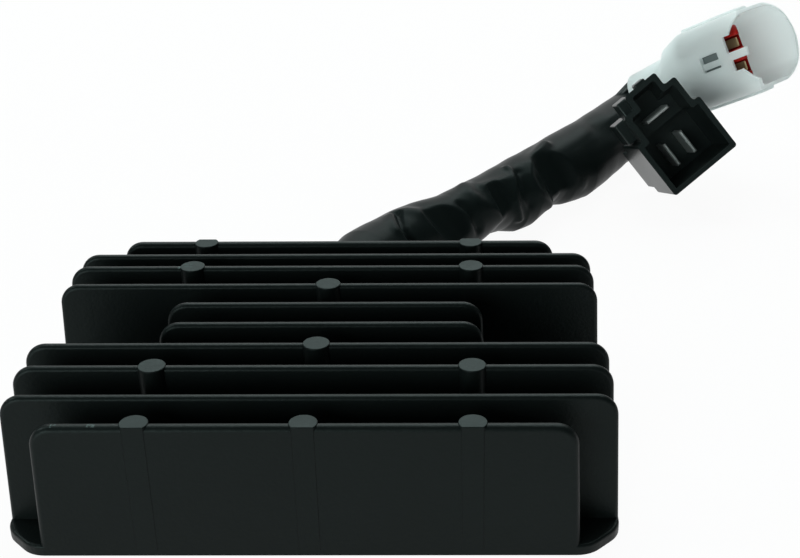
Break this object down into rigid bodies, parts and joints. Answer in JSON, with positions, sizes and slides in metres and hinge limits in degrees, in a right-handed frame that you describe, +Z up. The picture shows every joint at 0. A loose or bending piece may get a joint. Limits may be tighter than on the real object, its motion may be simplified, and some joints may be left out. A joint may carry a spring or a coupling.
{
  "type": "voltage regulator rectifier",
  "caption": "Finned die-cast voltage regulator rectifier with a flanged base, bolt ears, potted electronics and a sleeved lead that ends in a black blade connector and a white sealed one.",
  "frame": {"origin": "middle of the housing's flat underside, which rests on the table", "axes": "+X along the fins, +Y from the front fin towards the lead outlet, +Z up out of the base"},
  "size_m": [0.1552, 0.1801, 0.0436],
  "materials": {
    "housing_black": "satin black coated die casting",
    "insulator": "matt",
    "board": "semi-gloss solder mask",
    "potting": "semi-gloss cast resin",
    "chip": "matt",
    "resistor": "matt",
    "capacitor": "satin",
    "zener": "gloss",
    "tinned_copper": "bright tin",
    "sleeve": "glossy soft vinyl",
    "grommet": "matt",
    "connector_black": "satin moulded",
    "connector_white": "satin moulded",
    "retainer_red": "satin moulded",
    "seal": "matt",
    "device": "matt",
    "blade_tin": "bright tin",
    "wire_black": "satin vinyl",
    "wire_red": "satin vinyl",
    "pin_brass": "satin"
  },
  "bodies": {
    "root": {"housing": "housing_black", "insulator_sheet": "insulator", "circuit_board": "board", "potting": "potting", "control_chip": "chip", "resistors": "resistor", "capacitors": "capacitor", "zener_diodes": "zener", "board_pins": "tinned_copper", "lead_sleeve": "sleeve", "lead_grommet": "grommet", "phase_connector": "connector_black", "output_connector": "connector_white", "output_retainer": "retainer_red", "output_seal": "seal", "thyristor_1": "device", "diode_1": "device", "phase_blade_1": "blade_tin", "wire_phase_1": "wire_black", "thyristor_2": "device", "diode_2": "device", "phase_blade_2": "blade_tin", "wire_phase_2": "wire_black", "thyristor_3": "device", "diode_3": "device", "phase_blade_3": "blade_tin", "wire_phase_3": "wire_black", "wire_ground": "wire_black", "wire_positive": "wire_red", "output_pin_1": "pin_brass", "output_pin_2": "pin_brass"}
  },
  "joints": []
}
